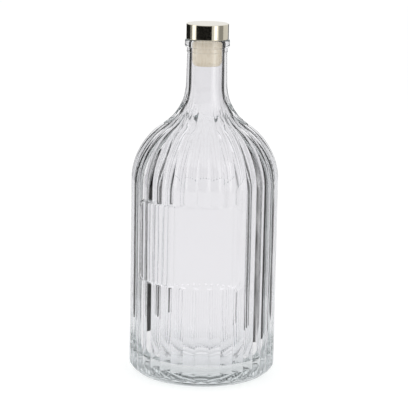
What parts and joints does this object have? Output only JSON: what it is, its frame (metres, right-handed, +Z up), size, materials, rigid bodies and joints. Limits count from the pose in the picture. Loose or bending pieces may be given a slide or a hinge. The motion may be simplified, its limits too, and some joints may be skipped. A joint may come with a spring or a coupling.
{
  "type": "stoppered glass bottle",
  "caption": "Clear reeded glass bottle with a round shoulder, smooth label panels front and back, a beaded mouth, and a push-in stopper with a round metal head.",
  "frame": {"origin": "middle of the base, on the plane the bottle stands on", "axes": "+Z up along the bottle's axis, towards the stopper; -Y out of the middle of the front label panel"},
  "size_m": [0.1144, 0.1152, 0.2767],
  "materials": {
    "clear_glass": "clear, glossy, with a slight grey-green cast where it is thick",
    "gilt_metal": "polished, pale champagne gold",
    "pale_cork": "smooth, pale beige"
  },
  "bodies": {
    "root": {"glass_bottle": "clear_glass", "stopper_head": "gilt_metal", "stopper_shank": "pale_cork"}
  },
  "joints": []
}
